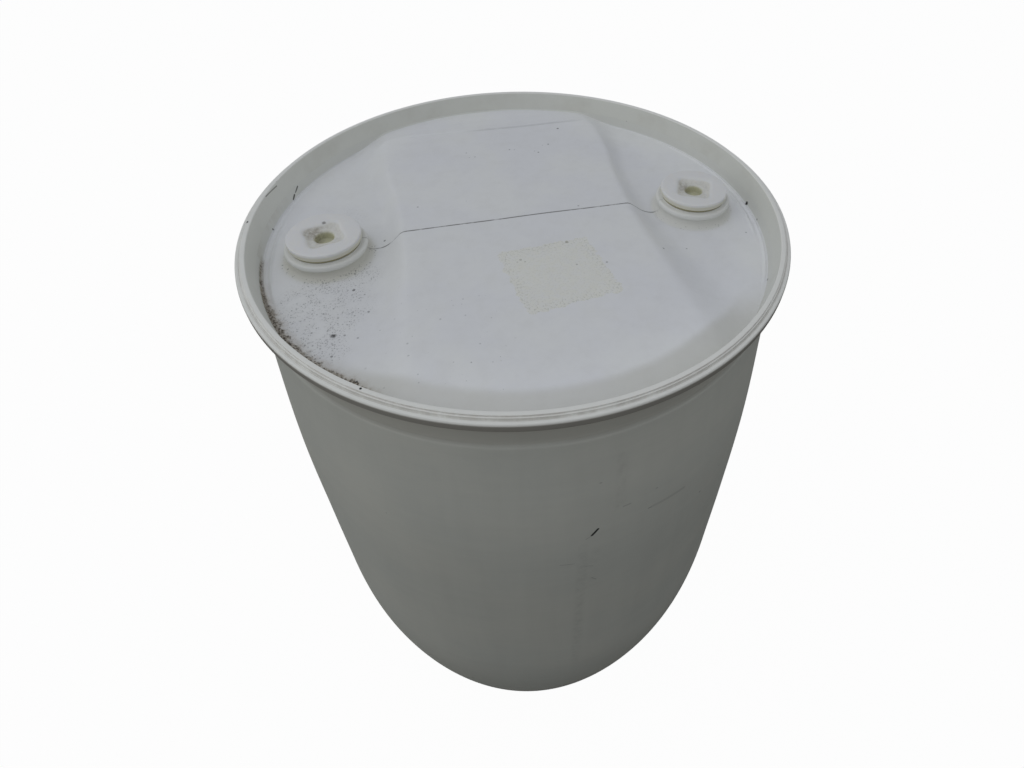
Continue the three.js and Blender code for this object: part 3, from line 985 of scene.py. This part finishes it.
def ring_material():
    s = Shader("ring_polyethylene")
    streak = s.noise(9, 4, 0.65, place=s.vector(s.azimuth * 5, s.radius * 0.4, s.z * 0.4), seed=2)
    mottle = s.noise(12, 3, 0.6, seed=4)
    colour = s.mix(mottle, srgb(238, 238, 233), srgb(243, 243, 237))
    colour = s.scaled(colour, 1 + (streak - 0.5) * 0.08)
    # Dirt in the two grooves of the top, broken up along the way
    broken = s.noise(26, 4, 0.7, place=s.flat, seed=6)
    wall = s.radius.fall(LIP_IN_R + 0.1, LIP_IN_R + 0.6) * s.z.fall(HEIGHT - 1.5, HEIGHT - 0.5)
    colour = s.mix(wall, colour, srgb(224, 225, 218))
    # Painted shade: the wall inside the rim is a little darker on the right.
    colour = s.scaled(colour, 1 - wall * s.x.rise(120, 260) * 0.07)
    step = s.radius.near(LIP_IN_R + 4.9, 0.2, 0.4) * s.z.rise(HEIGHT - 3, HEIGHT - 1.8)
    groove = s.radius.near(LIP_IN_R + 6.6, 0.5, 0.5) * s.z.rise(HEIGHT - 5, HEIGHT - 4.5)
    colour = s.mix(step * broken.rise(0.35, 0.6) * 0.22, colour, srgb(150, 130, 116))
    colour = s.mix(groove * (broken.rise(0.3, 0.6) * 0.25 + 0.05), colour, srgb(126, 112, 98))
    # The outer face of the flange is darkened below its rounded edge, by dirt and by painted shade where
    # it turns under
    face = s.z.fall(HEIGHT - 7.2, HEIGHT - 5.2) * s.radius.rise(285, 288)
    colour = s.mix(face * 0.70, colour, srgb(92, 80, 68))
    for place, size in LIP_SPECKS:
        colour = s.mix(s.distance(s.place, place).fall(size * 0.5, size), colour, BLACK)
    scratch = stroke(s, ((-272, 81, 873.5), (-263, 105, 871)), 0.3, 0.8)
    colour = s.mix(scratch * 0.7, colour, SOIL)
    grey = s.noise(60, 4, 0.6, seed=8).rise(0.45, 0.75) * s.radius.fall(283.5, 284.5)
    colour = s.mix(grey * 0.15, colour, TAN)
    nicks = s.dots(26, 1.3, 0.35, seed=4.0)
    colour = s.mix(nicks * 0.6, colour, BLACK)
    roughness = 0.42 + (streak - 0.5) * 0.2
    bumps = [(s.noise(1.3, 2, 0.5, seed=61), 0.03), (streak, 0.10), (s.noise(20, 2, seed=10), 0.10)]
    return s.plastic(colour, roughness, bumps)


def plug_material(name, x, seed, grime, dot):
    """dot is the place, as (x, y), and the radius of the one large speck on the plug."""
    s = Shader(name)
    radius = s.distance(s.flat, (x, 0.0, 0.0))
    mottle = s.noise(7, 3, 0.6, seed=seed)
    colour = s.mix(mottle, srgb(228, 228, 227), srgb(233, 233, 231))
    # Painted shade in the hole, yellowed as if light came through its thin floor, and painted shade on
    # the floor of the recess
    hole = radius.fall(TAP_R - 0.5, TAP_R + 2) * s.z.fall(PLUG_TOP - 6, PLUG_TOP - 3)
    sunk = s.z.fall(PLUG_TOP - 2.6, PLUG_TOP - 0.8) * radius.fall(25, 27)
    colour = s.mix(sunk * 0.5, colour, srgb(216, 214, 200))
    colour = s.mix(hole * 0.8, colour, srgb(196, 195, 160))
    # Grime in the recess, mostly in one lobe
    ragged = s.noise(4, 4, 0.7, seed=seed + 3)
    low = s.z.fall(PLUG_TOP - 3.0, PLUG_TOP - 0.3) * radius.fall(26, 28)
    lobe = spot(s, (x - 13, 9), 4, 13)
    dirty = low * (ragged.rise(0.40, 0.75) * 0.22 + lobe * ragged.rise(0.25, 0.6) * grime)
    colour = s.mix(dirty, colour, srgb(146, 138, 124))
    warm = s.z.fall(PLUG_TOP - 4.5, PLUG_TOP - 1.5) * radius.rise(FLANGE_R - 2, FLANGE_R - 0.5)
    colour = s.mix(warm * 0.6, colour, srgb(208, 205, 180))
    at, size = dot
    speck = spot(s, at, size * 0.5, size) * s.z.rise(PLUG_TOP - 1.5, PLUG_TOP - 1)
    colour = s.mix(speck * 0.65, colour, SOIL)
    specks = s.dots(14, 1.2, 0.3, seed=seed + 5) * s.z.rise(PLUG_TOP - 7, PLUG_TOP - 6)
    colour = s.mix(specks * 0.8, colour, BLACK)
    roughness = 0.44 + (mottle - 0.5) * 0.2 + dirty * 0.3
    pores, sunken = s.noise(1.1, 2, 0.5, seed=61), s.noise(9, 2, seed=seed + 9)
    bumps = [(pores, 0.03), (sunken, 0.10), (dirty * ragged, 0.25)]
    return s.plastic(colour, roughness, bumps, subsurface=0.25)


def gasket_material():
    s = Shader("gasket_rubber")
    fine = s.noise(1.2, 3, 0.6)
    patchy = s.noise(11, 3, 0.6, seed=2)
    colour = s.mix(patchy.rise(0.35, 0.7), srgb(158, 152, 124), srgb(176, 170, 140))
    colour = s.mix(fine.rise(0.6, 0.75) * 0.4, colour, srgb(112, 106, 86))
    return s.plastic(colour, 0.8 + (fine - 0.5) * 0.2, [(fine, 0.06)], specular=0.25)


def dress(obj, materials, body, node):
    """Gives a finished piece its materials and its place in the frame."""
    obj.data.materials.clear()
    for material in materials:
        obj.data.materials.append(material)
    for polygon in obj.data.polygons:
        polygon.use_smooth = True
        x, y, z = np.array(polygon.center) / MM
        # The first material covers what is seen from above, within the rim
        inside = z > HEAD_Z - 6 and math.hypot(x, y) < NECK_R
        polygon.material_index = 0 if inside or len(materials) == 1 else 1
    obj.data.set_sharp_from_angle(angle=math.radians(42))
    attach(obj, body)
    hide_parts(node)


dress(build_body(), [head_material(), side_material()], "drum", "drum_body")
dress(build_ring(), [ring_material()], "drum", "handling_ring")
rubber = gasket_material()
for side, x, thread, twist_deg, grime, dot in (
    ("left", -BUNG_X, FINE, -29, 0.55, ((-209, 21), 1.9)),
    ("right", BUNG_X, COARSE, 20, 0.40, ((214, 9), 1.2)),
):
    plug = build_plug(side + "_plug_moulding", x, thread, math.radians(twist_deg))
    dress(plug, [plug_material(side + "_plug_polyethylene", x, 3 + x / 50, grime, dot)],
          side + "_bung", side + "_plug")
    gasket = build_gasket(side + "_gasket_washer", x, thread)
    dress(gasket, [rubber], side + "_seal", side + "_gasket")

# ---------------------------------------------------------------------------- stage


DOME_LOW, DOME_HIGH = (0.211, 0.213, 0.203), (0.376, 0.394, 0.434)  # at the horizon and overhead
DOME_TILT = 0.66  # how much brighter the left is, near the horizon
DOME_SIDES = 2.1  # how much brighter both sides are than the front and the back, near the horizon


def build_floor():
    """A pale floor to the camera and a dim one to the drum, as if it stood on dark ground."""
    points = [(-9000, -9000, 0), (9000, -9000, 0), (9000, 9000, 0), (-9000, 9000, 0)]
    floor = make_object("floor", points, [[0, 1, 2, 3]])
    floor.location.z = -0.5 * MM
    material = bpy.data.materials.new("floor")
    tree = Tree(material)
    dim = tree.node("ShaderNodeBsdfDiffuse", {"Color": (0.12, 0.12, 0.105, 1)})
    pale = tree.node("ShaderNodeBsdfDiffuse", {"Color": (0.9, 0.9, 0.9, 1)})
    glow = tree.node("ShaderNodeEmission", {"Color": (1, 1, 1, 1), "Strength": 1.0})
    backdrop = tree.node("ShaderNodeMixShader", {0: 0.97, 1: pale.outputs[0], 2: glow.outputs[0]})
    tree.end("ShaderNodeOutputMaterial", dim, backdrop)
    floor.data.materials.append(material)


def build_world():
    """A soft dome, bluer overhead and brighter on the left. The camera sees it as pale as the floor."""
    world = bpy.data.worlds.new("studio")
    bpy.context.scene.world = world
    tree = Tree(world)
    x, _, z = tree.split(tree.node("ShaderNodeTexCoord").outputs["Generated"])
    ramp = tree.node("ShaderNodeValToRGB", {0: z})
    ramp.color_ramp.elements[0].color = (*DOME_LOW, 1)
    ramp.color_ramp.elements[1].color = (*DOME_HIGH, 1)
    strength = x * (x * DOME_SIDES - DOME_TILT) * (1 - z).min(1.0) + 1
    dome = tree.node("ShaderNodeBackground", {"Color": ramp.outputs[0], "Strength": strength})
    pale = tree.node("ShaderNodeBackground", {"Color": (1, 1, 1, 1)})
    tree.end("ShaderNodeOutputWorld", dome, pale)


def build_lamp():
    """One wide, weak lamp above the drum, a little to the left."""
    lamp = bpy.data.lights.new("overhead", "AREA")
    lamp.shape = "DISK"
    lamp.size = 3.0
    lamp.energy = 10
    holder = bpy.data.objects.new("overhead", lamp)
    bpy.context.scene.collection.objects.link(holder)
    holder.location = (-0.9, -0.3, 3.2)
    holder.rotation_mode = "QUATERNION"
    aim = Vector((0, 0, 0.8)) - holder.location
    holder.rotation_quaternion = aim.to_track_quat("-Z", "Y")


def build_camera():
    """A viewpoint close to the drum, a little to the left of its front, looking down on the head."""
    place = Vector((-99.2, -592.8, 1282.0)) * MM
    yaw, pitch, roll = math.radians(14.8), math.radians(42.6), math.radians(-1.3)
    focal, width, height, centre = 646.4, 1024, 768, (566.6, 301.9)  # in pixels
    forward = Vector((math.sin(yaw) * math.cos(pitch), math.cos(yaw) * math.cos(pitch), -math.sin(pitch)))
    right = Vector((math.cos(yaw), -math.sin(yaw), 0))
    down = forward.cross(right)
    across = right * math.cos(roll) + down * math.sin(roll)
    below = down * math.cos(roll) - right * math.sin(roll)
    camera = bpy.data.objects.new("camera", bpy.data.cameras.new("camera"))
    bpy.context.scene.collection.objects.link(camera)
    camera.data.sensor_width = 36
    camera.data.lens = focal / width * 36
    camera.data.shift_x = (width / 2 - centre[0]) / width
    camera.data.shift_y = (centre[1] - height / 2) / width
    camera.data.clip_start, camera.data.clip_end = 0.01, 100
    turn = Matrix((across, -below, -forward)).transposed()
    camera.matrix_world = Matrix.Translation(place) @ turn.to_4x4()
    bpy.context.scene.camera = camera


build_floor()
build_world()
build_lamp()
build_camera()
bpy.context.scene.view_settings.view_transform = "Standard"
